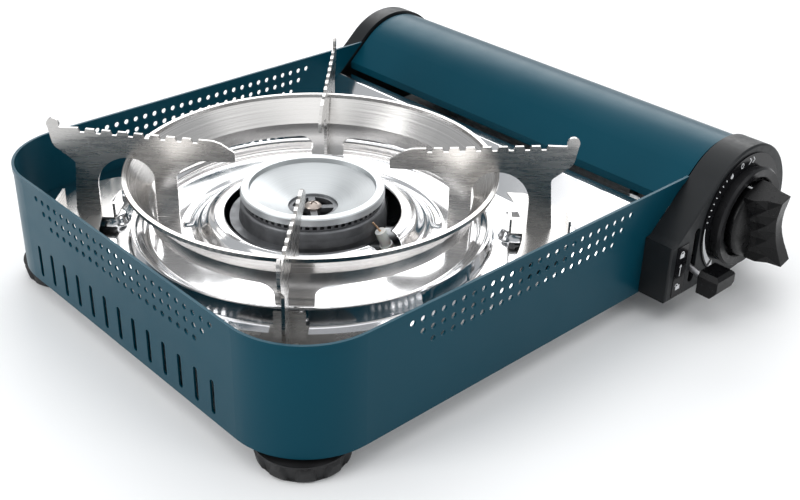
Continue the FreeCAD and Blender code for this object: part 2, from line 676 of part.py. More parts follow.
def drip_pan():
    """Pressed bright pan: a stepped bowl round the burner hole, flat corners and four seats."""
    body = new_body("drip_pan")
    level, thick = size.pan_level, size.pan_sheet
    hole, rim = size.pan_hole, size.pan_rim
    bead, edge = size.pan_bead, size.pan_edge
    revolve(body, [
        (hole, level + 10.7), (hole + 2.7, level + 11.5), (hole + 6, level + 10.6),
        (60, level + 5.1), (64, level + 3.1), (86.4, level + 2.7), (94.2, bead - thick - 0.2),
        (edge - thick, bead - thick - 0.6), (edge - thick, level - thick), (rim, level - thick),
        (rim, level), (edge, level), (edge, bead - 0.8), (edge - 0.8, bead), (94, bead),
        (86, level + 3.5), (64.2, level + 4), (60.4, level + 5.9), (hole + 6.3, level + 11.5),
        (hole + 2.7, level + 12.4), (hole, level + 11.6)])
    inset = size.tray_sheet + size.pan_gap
    flat = new_sketch(body, "XY", level - thick)
    loop(flat, size.wall_left - inset, size.pan_step, size.wall_depth - inset,
         size.corner_round - inset, Dim.of(1))
    circle(flat, 0, 0, rim - 1)
    pad(body, flat, thick)
    slope = outline(new_sketch(body, "XZ"), [
        (size.pan_step - 0.5, level - thick), (size.pan_step + 0.4, level - thick),
        (size.pan_shelf + 0.4, size.pan_high - thick), (size.pan_right - thick, size.pan_high - thick),
        (size.pan_right - thick, size.pan_high - 6), (size.pan_right, size.pan_high - 6),
        (size.pan_right, size.pan_high), (size.pan_shelf, size.pan_high), (size.pan_step, level),
        (size.pan_step - 0.5, level)])
    pad(body, slope, (size.wall_depth - inset) * 2, symmetric=True)
    root = math.sqrt(0.5)
    corners = [(root, root), (-root, root), (-root, -root), (root, -root)]
    for along in corners:
        sketch = new_sketch(body, "XY", level - thick)
        stadium(sketch, along, size.boss_start, size.boss_end, size.boss_wide / 2)
        pad(body, sketch, size.boss_top - level + thick)
    for along in corners:
        sketch = new_sketch(body, "XY", level - thick)
        stadium(sketch, along, size.boss_start + thick, size.boss_end - thick,
                size.boss_wide / 2 - thick)
        pocket(body, sketch, length=size.boss_top - level, reverse=True)
    notch = new_sketch(body, "XY", level)
    outline(notch, [(-1.5, -58), (11.5, -58), (11.5, -42), (-1.5, -42)])
    pocket(body, notch, symmetric=True)
    return place(body)


def stadium(sketch, along, start, end, half):
    """A slot shape along a direction in plan, from start to end, with round ends."""
    across = (-along[1], along[0])

    def spot(distance, side):
        return (distance * along[0] + half * (side * across[0]),
                distance * along[1] + half * (side * across[1]))

    near, far = start + half, end - half
    outline(sketch, [spot(far, -1), Bend(half, *spot(end, 0), 1), Bend(half, *spot(far, 1), 1),
                     spot(near, 1), Bend(half, *spot(start, 0), 1), Bend(half, *spot(near, -1), 1)])


# --- wind ring and pot supports -----------------------------------------------------------------

def wind_ring():
    body = new_body("wind_ring")
    top, waist, waist_z = size.ring_top, size.ring_waist, size.ring_waist_z
    thick = size.ring_sheet
    rim = size.ring_radius
    foot = size.ring_leg_foot
    revolve(body, [
        (waist - thick, foot), (waist, foot), (waist + 0.9, waist_z - 0.4), (rim - 1.2, top - 2.2),
        (rim, top - 2.0), (rim, top), (rim - 2.2, top), (rim - 2.4, top - 2.0), (waist, waist_z),
        (waist - thick, size.ring_skirt)])
    half = size.window_half
    corner = 6
    for plane in ("XZ", "YZ"):
        window = outline(new_sketch(body, plane), [
            (-half, foot - 1), (half, foot - 1), (half, size.ring_skirt - corner),
            Bend(corner, half - corner, size.ring_skirt, 1), (corner - half, size.ring_skirt),
            Bend(corner, -half, size.ring_skirt - corner, 1)])
        pocket(body, window, symmetric=True)
    return place(body)


def pan_supports():
    """Toothed stainless blades, one over each leg of the wind ring, with winged foot plates."""
    foot, reach = size.blade_foot, size.blade_reach
    first, first_z = size.tooth_first, size.tooth_first_z
    pitch, deep, rise = size.tooth_pitch, size.tooth_deep, size.tooth_rise
    inner, half, neck = size.wing_inner, size.wing_half, size.wing_neck
    tip = math.sqrt(inner.value ** 2 - half.value ** 2)
    throat = math.sqrt(inner.value ** 2 - neck.value ** 2)
    teeth = []
    for tooth in range(8):
        for step, drop in ((0.0, 0), (0.52, 0), (0.62, 1), (0.90, 1)):
            r = first + pitch * (tooth + step)
            teeth.append((r, first_z + (r - first) * rise - deep * drop))
    for index, corner in enumerate(("rear_right", "rear_left", "front_left", "front_right")):
        body = new_body(f"pan_support_{corner}")
        end_z = first_z + (pitch * 8) * rise
        sketch = outline(new_sketch(body, "XZ"), [
            (71.6, size.ring_leg_foot), (83.4, size.ring_leg_foot), (83.4, 66.0),
            Bend(14, 94.6, 75.7, -1), (98.0, 75.7), Bend(17, 113.6, 60.0, -1), (113.6, foot),
            (126.8, foot), (124.4, 70.6), Bend(3, 125.4, 73.4, -1), (133.6, 80.2),
            Bend(8, 135.6, 84.0, 1), (reach, 91.83), Bend(3.3, reach - 2.9, 96.7, 1),
            Bend(3.3, reach - 5.9, 92.03, 1), (130.4, end_z), (first + pitch * 8, end_z)] + teeth[::-1] + [
            (first - 3, first_z - 0.2), (47.5, 85.6), (40.2, 80.6), (40.2, 75.4), (57.0, 75.4),
            Bend(20, 71.6, 66.0, -1)])
        pad(body, sketch, size.blade_thick, symmetric=True)
        plate = outline(new_sketch(body, "XY", foot), [
            (tip, half), Bend(inner, throat, neck, -1), (104, neck), (104, -neck), (throat, -neck),
            Bend(inner, tip, -half, -1), (114, -half), Bend(34, 130, -24, 1), Bend(20, 136, -12, 1),
            (136, 12), Bend(20, 130, 24, 1), Bend(34, 114, half, 1)])
        pad(body, plate, size.wing_thick)
        for low, high in ((104, 105.2), (134.8, 136)):
            tab = outline(new_sketch(body, "XY", foot), box_path(low, high, 1.5 - neck, neck - 1.5))
            pad(body, tab, 8.5)
        place(body, angle=45 + 90 * index)


# --- lid and end mouldings ----------------------------------------------------------------------

def dome_points(radius):
    """Where a slanting flank meets a dome of that radius: the foot line and the tangent point."""
    slope = math.atan(size.slant_rise.value)
    return (size.dome_x - radius * math.sin(slope), size.dome_z + radius * math.cos(slope))


def end_outline(radius, wall):
    """The end mouldings' outline in X and Z, drawn in by the wall thickness."""
    dome = radius - wall
    touch_x, touch_z = dome_points(dome)
    left = size.panel_left + wall
    low = size.panel_bottom + wall
    heel = size.panel_heel - wall
    right = size.dome_x + dome
    sweep = size.panel_sweep + wall
    shoulder = size.panel_shoulder - wall
    slope = math.atan(size.slant_rise.value)
    tangent = sweep * math.tan(slope / 2)
    corner_x = touch_x - (touch_z - shoulder) / size.slant_rise
    return [(left, low), (right - heel, low), Bend(heel, right, low + heel, 1), (right, size.dome_z),
            Bend(dome, touch_x, touch_z, 1),
            (corner_x + tangent * math.cos(slope), shoulder + tangent * math.sin(slope)),
            Bend(sweep, corner_x - tangent, shoulder, -1), (left, shoulder)]


def moulding(name, back, deep):
    """A hollow end moulding, open towards the tray, its closed face outwards."""
    body = new_body(name)
    pad(body, outline(new_sketch(body, "XZ", back), end_outline(size.panel_dome, Dim.of(0))), deep)
    return body


def is_rim(edge, y):
    """True for an edge that lies in the plane at that Y."""
    box = edge.BoundBox
    return abs(box.YMin - y) < 1e-4 and abs(box.YMax - y) < 1e-4


def control_panel():
    back, deep, wall = size.panel_back, size.panel_deep, size.panel_wall
    body = moulding("control_panel", back, deep)
    front = -(back + deep).value
    soften(body, 1.2, lambda edge: is_rim(edge, front))
    inner = outline(new_sketch(body, "XZ", back), end_outline(size.panel_dome, wall))
    pocket(body, inner, length=deep - wall, reverse=True)
    x, z = size.knob_x, size.knob_z
    windows = new_sketch(body, "XZ", back + deep + 1)
    half = size.lever_slot_wide / 2
    outline(windows, slot_path(size.slot_x, half, size.lever_slot_low, size.lever_slot_high))
    circle(windows, x, z, size.spindle_radius + 2)
    pocket(body, windows, length=wall + 2)
    return place(body)


def rear_cap():
    back, deep, wall = -(size.panel_back + size.cap_deep), size.cap_deep, size.panel_wall
    body = moulding("rear_cap", back, deep)
    outer = (size.panel_back + size.cap_deep).value
    soften(body, 1.2, lambda edge: is_rim(edge, outer))
    inner = outline(new_sketch(body, "XZ", -size.panel_back), end_outline(size.panel_dome, wall))
    pocket(body, inner, length=deep - wall)
    holes = new_sketch(body, "XZ", -(size.panel_back + size.cap_deep + 1))
    for x, z in cap_screw_places():
        circle(holes, x, z, size.screw_radius)
    pocket(body, holes, length=wall + 2, reverse=True)
    return place(body)


def cap_screw_places():
    return ((129, 20), (208, 20), (180, 74))


def rear_cap_screws():
    face = size.panel_back + size.cap_deep
    pieces = []
    for index, (x, z) in enumerate(cap_screw_places()):
        pieces.append(rod(f"cap_screw_head_{index}", size.screw_head - 0.5, 1.6, x, face, z, **ALONG_Y))
        pieces.append(rod(f"cap_screw_shank_{index}", size.screw_radius, 9, x, face - 9, z, **ALONG_Y))
    return finished(join("cap_screws", pieces), "rear_cap_screws")


def lid():
    """Curved sheet lid over the canister bay, with its hinge knuckles."""
    body = new_body("lid")
    dome, thick = size.lid_dome, size.lid_sheet
    touch_x, touch_z = dome_points(dome)
    inner_x, inner_z = dome_points(dome - thick)
    edge_x = size.lid_left
    edge_z = touch_z - (touch_x - edge_x) * size.slant_rise
    inner_edge_z = inner_z - (inner_x - edge_x - thick) * size.slant_rise
    right = size.dome_x + dome
    foot = size.lid_foot
    sketch = outline(new_sketch(body, "XZ"), [
        (right - thick, foot), (right, foot), (right, size.dome_z), Bend(dome, touch_x, touch_z, 1),
        (edge_x, edge_z), (edge_x, edge_z - 4.5), (edge_x + thick, edge_z - 4.5),
        (edge_x + thick, inner_edge_z), (inner_x, inner_z),
        Bend(dome - thick, right - thick, size.dome_z, -1)])
    pad(body, sketch, size.lid_half * 2, symmetric=True)
    x, z = size.hinge_x, size.hinge_z
    for side in (-1, 1):
        for start in (5.3, -11.3):
            offset = side * size.hinge_y + start
            web = outline(new_sketch(body, "XZ", offset), box_path(right - thick, right, z, foot + 0.5))
            pad(body, web, 6)
            knuckle = new_sketch(body, "XZ", offset)
            circle(knuckle, x, z, size.hinge_radius)
            pad(body, knuckle, 6)
    bore = new_sketch(body, "XZ")
    circle(bore, x, z, size.pin_radius + size.pin_clearance)
    pocket(body, bore, symmetric=True)
    return place(body)


def hinges():
    x, z = size.hinge_x, size.hinge_z
    for name, y in (("front", -size.hinge_y), ("rear", size.hinge_y)):
        low, high = y - 5, y + 5
        leaf = join(f"leaf_solid_{name}", [
            block(f"leaf_plate_{name}", size.bay_side, size.bay_side + 1, low, high, 15, z),
            rod(f"leaf_knuckle_{name}", size.hinge_radius, 10, x, low, z, **ALONG_Y)])
        tool = rod(f"leaf_bore_{name}", size.pin_radius, 12, x, y - 6, z, **ALONG_Y)
        finished(cut(f"leaf_{name}", leaf, tool), f"hinge_leaf_{name}")
        pin = rod(f"pin_shank_{name}", size.pin_radius, 23, x, y - 11.5, z, **ALONG_Y)
        holder = join(f"pin_solid_{name}", [
            pin, rod(f"pin_head_{name}", 2, 1.2, x, y + 11.5, z, **ALONG_Y)])
        finished(holder, f"hinge_pin_{name}")


# --- controls -----------------------------------------------------------------------------------

def facing_front(name, path):
    """A turned piece on the knob's axis: radius, and distance out from the stove's middle."""
    return turned(name, path, size.knob_x, 0, size.knob_z, (1, 0, 0), 90)


def controls():
    face = size.panel_back + size.panel_deep
    dial = size.dial_thick
    facing_front("dial_plate", [
        (size.bezel_bore, face), (size.dial_radius, face), (size.dial_radius, face + dial),
        (size.bezel_bore, face + dial)])
    start = face + dial
    end = face + size.bezel_deep + dial
    facing_front("knob_bezel", [
        (size.bezel_bore + 0.6, start), (size.bezel_radius - 1, start),
        (size.bezel_radius, end - 1.5), (size.bezel_radius - 1, end - 0.2),
        (size.bezel_bore + 1.2, end - 0.8), (size.bezel_bore + 0.6, end - 1.4)])
    label = new_body("lever_label")
    strip = box_path(size.label_left, size.label_right, size.label_low, size.label_high)
    pad(label, outline(new_sketch(label, "XZ", face), strip), size.label_thick)
    place(label)


def knob():
    """Turned skirt with a deep gripping bar across it, flared towards its ends."""
    body = new_body("knob")
    skirt, front = size.skirt_front, size.knob_front
    revolve(body, [
        (size.spindle_radius, skirt - 8), (size.skirt_radius - 1, skirt - 8),
        (size.skirt_radius, skirt - 3), (size.skirt_radius - 0.8, skirt - 1.6), (15, skirt - 2.6),
        (8, skirt + 2), (size.spindle_radius, skirt + 2)])
    half, dip = size.bar_half, size.bar_dip
    bar = outline(new_sketch(body, "YZ"), [
        (-half + 2.5, skirt - 2.5), (half - 2.5, skirt - 2.5), (half - 1, front - 9),
        (half, front - 4), (half - 3, front),
        Bend(62, -half + 3, front, -1), (-half, front - 4), (-half + 1, front - 9)])
    pad(body, bar, size.bar_wide, symmetric=True)
    waist = outline(new_sketch(body, "XZ"), [
        (-size.bar_wide, skirt + 1), (-size.bar_wide / 2 + 0.2, skirt + 2),
        (-size.bar_wide / 2 + 1.7, front - 5), (-size.bar_wide / 2 + 0.2, front + 1),
        (-size.bar_wide, front + 1)])
    pocket(body, waist, length=Dim.of(24), symmetric=True)
    other = outline(new_sketch(body, "XZ"), [
        (size.bar_wide, skirt + 1), (size.bar_wide, front + 1), (size.bar_wide / 2 - 0.2, front + 1),
        (size.bar_wide / 2 - 1.7, front - 5), (size.bar_wide / 2 - 0.2, skirt + 2)])
    pocket(body, other, length=Dim.of(24), symmetric=True)
    socket = new_sketch(body, "XY", skirt - 9)
    circle(socket, 0, 0, size.spindle_radius)
    pocket(body, socket, length=15, reverse=True)
    tilt = FreeCAD.Rotation(FreeCAD.Vector(0, 1, 0), size.knob_tilt.value)
    turn = tilt.multiply(FreeCAD.Rotation(FreeCAD.Vector(1, 0, 0), 90))
    place(body, size.knob_x, 0, size.knob_z, tuple(turn.Axis), math.degrees(turn.Angle))
    x, z = size.knob_x, size.knob_z
    shaft_start = -size.regulator_front - 9
    spindle = new_body("knob_spindle")
    round_bar = new_sketch(spindle, "XZ", shaft_start)
    circle(round_bar, 0, 0, size.spindle_radius)
    pad(spindle, round_bar, size.skirt_front + 5 - shaft_start)
    place(spindle, x, 0, z)


def lever():
    """Canister lock lever: a zinc rod from its pivot out through the slot to a moulded tip."""
    x, y, z = size.slot_x, size.pivot_y, size.pivot_z
    body = new_body("lever_rod")
    eye = new_sketch(body, "YZ")
    circle(eye, 0, 0, Dim.of(4.2))
    circle(eye, 0, 0, size.rod_radius + size.pin_clearance)
    pad(body, eye, 5, symmetric=True)
    stem = new_sketch(body, "XZ", 3.6)
    circle(stem, 0, 0, size.rod_radius)
    pad(body, stem, size.rod_length)
    place(body, x, y, z, (1, 0, 0), size.lever_drop)

    tip = new_body("lever_tip")
    low, high = size.tip_low, size.tip_high
    back, front = size.tip_back, size.tip_front
    left, right = size.tip_left, size.tip_right
    pad(tip, outline(new_sketch(tip, "XZ", back), [
        (left + 0.5, low), (right - 7, low), (right, low + 6.5), (right, high - 1), (right - 1, high),
        (left + 2, high), (left, high - 2.5)]), front - back)
    chin = outline(new_sketch(tip, "YZ"), [
        (-front - 1, low - 1), (-front + 4.5, low - 1), (-front - 1, low + 6)])
    pocket(tip, chin, symmetric=True)
    brow = outline(new_sketch(tip, "YZ"), [
        (-front - 1, high + 1), (-front + 3.5, high + 1), (-front - 1, high - 2.5)])
    pocket(tip, brow, symmetric=True)
    place(tip)

    pin = new_body("lever_pivot")
    round_bar = new_sketch(pin, "YZ")
    circle(round_bar, 0, 0, size.rod_radius)
    pad(pin, round_bar, 15, symmetric=True)
    place(pin, x, y, z)
    floor = size.wall_foot + size.base_sheet
    cheeks = []
    for index, side in enumerate((x - 7.5, x + 6)):
        cheeks.append(block(f"cheek_{index}", side, side + 1.5, y - 5, y + 5, floor, z + 5))
    cheeks.append(block("cheek_foot", x - 7.5, x + 7.5, y - 5, y + 5, floor, floor + 1.5))
    bores = rod("cheek_bore", size.rod_radius, 17, x - 8.5, y, z, **ALONG_X)
    finished(cut("cheeks_drilled", join("cheeks", cheeks), bores), "lever_bracket")


def lever_spring():
    """Torsion spring round the lever's pivot, its coils drawn as closed rings side by side."""
    x, y, z = size.slot_x, size.pivot_y, size.pivot_z
    coil, wire, pitch = 3.2, 0.45, 0.8
    rings = [primitive("Torus", f"spring_coil_{turn}", {"Radius1": coil, "Radius2": wire},
                       x + 3.2 + pitch * turn, y, z, **ALONG_X) for turn in range(3)]
    leg = rod("spring_leg", wire, 9, x + 3.2, y + coil, z - 9)
    return finished(join("spring", rings + [leg]), "lever_spring")


def canister_carriage():
    """Sliding cradle under the canister: a channel with a rear stop, moved by the lever."""
    floor = size.wall_foot + size.base_sheet
    low = floor + 1.6
    thick = 0.8
    body = new_body("canister_carriage")
    pad(body, outline(new_sketch(body, "XY", low), [
        (152, 98), (152, -76), (143, -84), (143, -104), (148, -104), (148, -88), (158, -80), (202, -80),
        (202, 98)]), thick)
    stop = outline(new_sketch(body, "XY", low), box_path(152, 202, 96.8, 98))
    pad(body, stop, 26)
    for edge in (152, 202 - thick):
        pad(body, outline(new_sketch(body, "XY", low), box_path(edge, edge + thick, -60, 98)), 5)
    return place(body)


for make in (body_shell, base_plate, bay_partition, heat_strip, feet, foot_screws, burner,
             burner_bracket, gas_train, regulator, igniter, drip_pan, wind_ring, pan_supports,
             control_panel, rear_cap, rear_cap_screws, lid, hinges, controls, knob, lever,
             lever_spring, canister_carriage):
    make()

doc.recompute()
faults = [item.Name for item in doc.Objects if "Invalid" in item.State or "Error" in item.State]
if faults:
    raise RuntimeError(f"objects that did not build: {faults}")
os.makedirs("parts", exist_ok=True)
whole = FreeCAD.BoundBox()
for piece in parts:
    shape = piece.Shape
    if shape.isNull() or not shape.isValid():
        raise RuntimeError(f"{piece.Label} has no valid shape")
    whole.add(shape.BoundBox)
    shape.exportStep(f"parts/{piece.Label}.step")
print(f"{len(parts)} pieces, box {whole}")
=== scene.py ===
import math

import bmesh
import bpy
from bpy.props import FloatProperty, FloatVectorProperty, IntProperty, PointerProperty
from mathutils import Matrix, Vector


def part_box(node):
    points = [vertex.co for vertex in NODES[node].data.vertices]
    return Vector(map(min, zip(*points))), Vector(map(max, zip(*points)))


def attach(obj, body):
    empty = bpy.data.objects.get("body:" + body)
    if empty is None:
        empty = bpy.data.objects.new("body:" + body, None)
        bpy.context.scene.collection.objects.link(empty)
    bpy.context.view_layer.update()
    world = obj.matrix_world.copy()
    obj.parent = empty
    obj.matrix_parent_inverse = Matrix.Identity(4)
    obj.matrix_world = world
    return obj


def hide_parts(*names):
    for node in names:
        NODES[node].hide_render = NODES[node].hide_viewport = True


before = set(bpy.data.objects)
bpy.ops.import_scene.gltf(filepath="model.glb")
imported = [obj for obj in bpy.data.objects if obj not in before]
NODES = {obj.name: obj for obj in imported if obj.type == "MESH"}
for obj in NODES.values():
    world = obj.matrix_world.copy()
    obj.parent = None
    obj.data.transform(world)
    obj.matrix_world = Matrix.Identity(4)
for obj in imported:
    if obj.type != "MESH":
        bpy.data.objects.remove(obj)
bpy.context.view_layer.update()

bl_info = {
    "name": "Cassette stove",
    "version": (1, 0, 0),
    "blender": (4, 5, 0),
    "location": "View3D > Sidebar > Stove",
    "description": "Dresses a portable single-burner gas stove: sheet metal, pan, mouldings, controls",
    "category": "Object",
}

MM = 0.001


def middle(node):
    low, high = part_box(node)
    return (low + high) / 2


BURNER = middle("burner_cap")
KNOB = middle("knob_spindle")


# --- materials ----------------------------------------------------------------------------------

# Noise seldom leaves this range, so finishes are spread over it.
TEXTURE_LOW, TEXTURE_HIGH = 0.3, 0.7


class Finish:
    """A node material under construction: one Principled shader and the textures that feed it."""

    def __init__(self, name, colour, roughness, metallic=0.0):
        self.material = bpy.data.materials.new(name)
        self.material.use_nodes = True
        self.tree = self.material.node_tree
        self.shader = self.tree.nodes["Principled BSDF"]
        self.set(Base_Color=(*colour, 1.0), Roughness=roughness, Metallic=metallic)
        self.place = self.node("ShaderNodeTexCoord").outputs["Object"]

    def node(self, kind, **settings):
        made = self.tree.nodes.new(kind)
        for name, value in settings.items():
            setattr(made, name, value)
        return made

    def set(self, **values):
        for name, value in values.items():
            self.shader.inputs[name.replace("_", " ")].default_value = value

    def link(self, start, end):
        self.tree.links.new(start, end)

    def stretched(self, scale, shift=(0, 0, 0)):
        """Object coordinates scaled on each axis, so that a texture runs long one way."""
        mapping = self.node("ShaderNodeMapping")
        mapping.inputs["Location"].default_value = shift
        mapping.inputs["Scale"].default_value = scale
        self.link(self.place, mapping.inputs["Vector"])
        return mapping.outputs["Vector"]

    def noise(self, scale, detail=3.0, where=None):
        texture = self.node("ShaderNodeTexNoise")
        texture.inputs["Scale"].default_value = scale
        texture.inputs["Detail"].default_value = detail
        self.link(where or self.place, texture.inputs["Vector"])
        return texture.outputs["Fac"]

    def spread(self, value, low, high):
        """Maps a texture's middle values on to a range."""
        ramp = self.node("ShaderNodeMapRange")
        ramp.inputs["From Min"].default_value = TEXTURE_LOW
        ramp.inputs["From Max"].default_value = TEXTURE_HIGH
        ramp.inputs["To Min"].default_value = low
        ramp.inputs["To Max"].default_value = high
        self.link(value, ramp.inputs["Value"])
        return ramp.outputs["Result"]

    def tint(self, value, dark, light):
        """Runs the base colour between two colours."""
        ramp = self.node("ShaderNodeValToRGB")
        ramp.color_ramp.elements[0].color = (*dark, 1)
        ramp.color_ramp.elements[1].color = (*light, 1)
        ramp.color_ramp.elements[0].position = TEXTURE_LOW
        ramp.color_ramp.elements[1].position = TEXTURE_HIGH
        self.link(value, ramp.inputs["Fac"])
        self.link(ramp.outputs["Color"], self.shader.inputs["Base Color"])

    def rough(self, value, low, high):
        self.link(self.spread(value, low, high), self.shader.inputs["Roughness"])

    def bump(self, value, strength, depth):
        bump = self.node("ShaderNodeBump")
        bump.inputs["Strength"].default_value = strength
        bump.inputs["Distance"].default_value = depth
        self.link(value, bump.inputs["Height"])
        self.link(bump.outputs["Normal"], self.shader.inputs["Normal"])

    def round_the_burner(self):
        """Distance from the burner's axis, for marks left by turning and spinning."""
        mapping = self.stretched((1, 1, 0), (-BURNER.x, -BURNER.y, 0))
        length = self.node("ShaderNodeVectorMath", operation="LENGTH")
        self.link(mapping, length.inputs[0])
        return length.outputs["Value"]

    def rings(self, pitch):
        """Fine turned rings round the burner's axis, slightly uneven."""
        pitches = self.node("ShaderNodeMath", operation="MULTIPLY")
        pitches.inputs[1].default_value = 1 / pitch
        self.link(self.round_the_burner(), pitches.inputs[0])
        texture = self.node("ShaderNodeTexNoise", noise_dimensions="1D")
        texture.inputs["Scale"].default_value = 1.0
        texture.inputs["Detail"].default_value = 2.0
        self.link(pitches.outputs["Value"], texture.inputs["W"])
        return texture.outputs["Fac"]


def scaled(colour, factor):
    return tuple(min(1.0, channel * factor) for channel in colour)


def enamel(name, colour):
    """Glossy stove enamel with a faint orange peel under a clear coat."""
    finish = Finish(name, colour, 0.34)
    finish.set(Coat_Weight=0.02, Coat_Roughness=0.12, Specular_IOR_Level=0.22,
               Specular_Tint=(0.25, 0.75, 1.0, 1.0))
    finish.tint(finish.noise(9, 2), scaled(colour, 0.94), scaled(colour, 1.06))
    finish.rough(finish.noise(60, 3), 0.30, 0.38)
    finish.bump(finish.noise(900, 2), 0.10, 0.00008)
    return finish.material


def bright_steel(name, colour):
    """Polished stainless steel: clear reflections, a slow ripple and a faint haze."""
    finish = Finish(name, colour, 0.06, 1.0)
    finish.tint(finish.noise(14, 3), scaled(colour, 0.95), scaled(colour, 1.03))
    finish.rough(finish.noise(45, 4), 0.08, 0.16)
    finish.bump(finish.noise(28, 1), 0.04, 0.0006)
    return finish.material


def brushed_metal(name, colour, grain, low, high, depth=0.00004):
    """Steel or aluminium with its brushing along one axis."""
    finish = Finish(name, colour, 0.25, 1.0)
    lines = finish.noise(1.0, 3, finish.stretched(grain))
    finish.tint(lines, scaled(colour, 0.86), scaled(colour, 1.06))
    finish.rough(lines, low, high)
    finish.bump(lines, 0.25, depth)
    return finish.material


def spun_metal(name, colour, pitch, low, high, depth=0.00005):
    """Metal with fine rings left by turning about the burner's axis."""
    finish = Finish(name, colour, 0.25, 1.0)
    marks = finish.rings(pitch)
    finish.tint(marks, scaled(colour, 0.93), scaled(colour, 1.04))
    finish.rough(marks, low, high)
    finish.bump(marks, 0.2, depth)
    return finish.material


def cast_metal(name, colour):
    """Die-cast aluminium: dull, with a fine pebbled skin."""
    finish = Finish(name, colour, 0.5, 0.9)
    finish.tint(finish.noise(120, 4), scaled(colour, 0.72), scaled(colour, 1.1))
    finish.rough(finish.noise(200, 3), 0.42, 0.6)
    finish.bump(finish.noise(1500, 3), 0.35, 0.0001)
    return finish.material


def moulded(name, colour, low, high, grain=1600, depth=0.00006):
    """Moulded plastic with a fine spark-eroded texture."""
    finish = Finish(name, colour, 0.4)
    finish.set(Specular_IOR_Level=0.22)
    finish.tint(finish.noise(40, 2), scaled(colour, 0.9), scaled(colour, 1.12))
    finish.rough(finish.noise(300, 3), low, high)
    finish.bump(finish.noise(grain, 2), 0.12, depth)
    return finish.material


def rubber(name, colour):
    finish = Finish(name, colour, 0.7)
    finish.tint(finish.noise(80, 3), scaled(colour, 0.75), scaled(colour, 1.3))
    finish.rough(finish.noise(150, 3), 0.55, 0.75)
    finish.bump(finish.noise(900, 3), 0.3, 0.0001)
    return finish.material


def glazed(name, colour):
    finish = Finish(name, colour, 0.22)
    finish.set(Subsurface_Weight=0.1, Coat_Weight=0.3)
    finish.tint(finish.noise(60, 2), scaled(colour, 0.95), scaled(colour, 1.03))
    finish.bump(finish.noise(400, 2), 0.1, 0.00005)
    return finish.material


def printing(name, colour):
    """Pad-printed markings: flat, slightly uneven ink."""
    finish = Finish(name, colour, 0.55)
    finish.tint(finish.noise(500, 2), scaled(colour, 0.9), scaled(colour, 1.0))
    finish.bump(finish.noise(1500, 2), 0.1, 0.00002)
    return finish.material


# --- mesh helpers -------------------------------------------------------------------------------

def smooth(obj, angle=35):
    """Smooth shading that keeps folds sharper than the angle."""
    mesh = obj.data
    with bpy.context.temp_override(object=obj, active_object=obj, mesh=mesh):
        if mesh.has_custom_normals:
            bpy.ops.mesh.customdata_custom_splitnormals_clear()
    mesh.shade_smooth()
    mesh.set_sharp_from_angle(angle=math.radians(angle))


def dress(node, material, edge=0.0, angle=35):
    """Gives a CAD piece its material, smooth shading and a fine broken edge."""
    obj = NODES[node]
    obj.data.materials.clear()
    obj.data.materials.append(material)
    smooth(obj, angle)
    if edge:
        bevel = obj.modifiers.new("broken_edge", "BEVEL")
        bevel.width = edge * MM
        bevel.segments = 2
        bevel.limit_method = "ANGLE"
        bevel.angle_limit = math.radians(40)
        bevel.use_clamp_overlap = True
        bevel.harden_normals = True
    return obj


def add_piece(name, bm, material, body, angle=35):
    """Makes an object from a bmesh, gives it its material and rides it on a body."""
    bmesh.ops.recalc_face_normals(bm, faces=bm.faces)
    mesh = bpy.data.meshes.new(name)
    bm.to_mesh(mesh)
    bm.free()
    obj = bpy.data.objects.new(name, mesh)
    bpy.context.scene.collection.objects.link(obj)
    mesh.materials.append(material)
    smooth(obj, angle)
    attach(obj, body)
    return obj


def bridge(bm, first, second, closed=True):
    """Quads between two rows of vertices of the same length."""
    count = len(first)
    for index in range(count if closed else count - 1):
        following = (index + 1) % count
        bm.faces.new((first[index], first[following], second[following], second[index]))


STEEP = 1.5


def curve_through(points, x):
    """Height on a line through (x, height) points, in mm, with its steep stretches eased."""
    if x <= points[0][0]:
        return points[0][1]
    for (x0, y0), (x1, y1) in zip(points, points[1:]):
        if x <= x1:
            share = (x - x0) / (x1 - x0)
            share = share * share * (3 - 2 * share) if abs(y1 - y0) > STEEP else share
            return y0 + (y1 - y0) * share
    return points[-1][1]


def ease(low, high, x):
    """Runs smoothly from 0 at low to 1 at high."""
    share = min(1.0, max(0.0, (x - low) / (high - low)))
    return share * share * (3 - 2 * share)


def plate(bm, outline, origin, across, up, out, thick):
    """A thin printed shape: an outline in mm laid on a face and raised by its thickness."""
    low = [bm.verts.new(origin + (across * x + up * y) * MM) for x, y in outline]
    high = [bm.verts.new(v.co + out * (thick * MM)) for v in low]
    bm.faces.new(high)
    bm.faces.new(low[::-1])
    bridge(bm, low, high)


# --- settings -----------------------------------------------------------------------------------

def length(name, description, default):
    return FloatProperty(name=name, description=description, default=default * MM, unit="LENGTH",
                         precision=5)


def colour(name, description, default):
    return FloatVectorProperty(name=name, description=description, default=default, subtype="COLOR",
                               min=0.0, max=1.0)


class StoveSizes(bpy.types.PropertyGroup):
    pan_sheet: length("Pan sheet", "Thickness of the drip pan's sheet", 0.8)
    boss_wide: length("Boss width", "Width of the seats pressed in the pan", 15.0)
    groove_deep: length("Groove depth", "Depth of the arc pressed in the pan", 1.4)
    foot_lobes: IntProperty(name="Foot lobes", description="Scallops round each rubber foot",
                            default=10, min=4, max=24)
    sheet_edge: length("Sheet edge", "Rounding on the edges of painted sheet", 0.18)
    moulding_edge: length("Moulding edge", "Rounding on the edges of the mouldings", 0.45)
    print_thick: length("Print thickness", "How far a printed mark stands off its face", 0.06)


